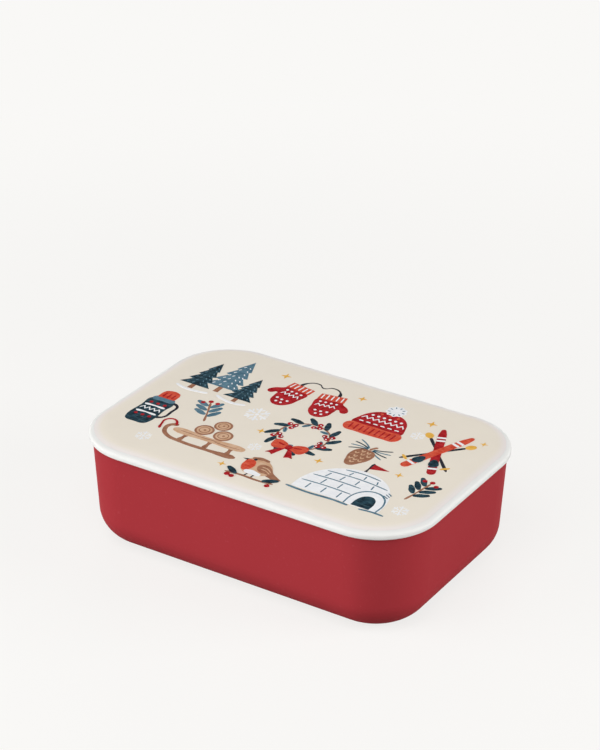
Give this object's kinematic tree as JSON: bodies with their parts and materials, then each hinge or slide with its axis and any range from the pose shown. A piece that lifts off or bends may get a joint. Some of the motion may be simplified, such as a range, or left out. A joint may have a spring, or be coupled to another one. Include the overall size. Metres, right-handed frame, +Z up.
{
  "type": "lunch box",
  "caption": "Flat rectangular lunch box with soft corners: tapered tub, lift-off printed lid with a sealing plug, and a loose divider between rails.",
  "frame": {"origin": "middle of the face that the box stands on, under the centre of the lid", "axes": "+X along the long side towards the small compartment, +Y from the front wall to the back wall, +Z up, the way the lid lifts"},
  "size_m": [0.19, 0.128, 0.0594],
  "materials": {
    "red_tub": "satin moulded",
    "white_divider": "satin moulded",
    "white_lid": "satin moulded",
    "printed_film": "satin print under a clear coat",
    "silicone": "milky silicone"
  },
  "bodies": {
    "tub": {"tub": "red_tub"},
    "lid": {"lid": "white_lid", "lid_print_film": "printed_film", "lid_seal": "silicone"},
    "divider": {"divider": "white_divider"}
  },
  "joints": [
    {"name": "lid_lift", "type": "slide", "parent": "tub", "child": "lid", "axis": [0, 0, 1], "range_m": [0, 0.12]},
    {"name": "divider_lift", "type": "slide", "parent": "tub", "child": "divider", "axis": [0, 0, 1], "range_m": [0, 0.06]}
  ],
  "couplings": [
    {"joint": "divider_lift", "follows": "lid_lift", "ratio": 0.5}
  ]
}
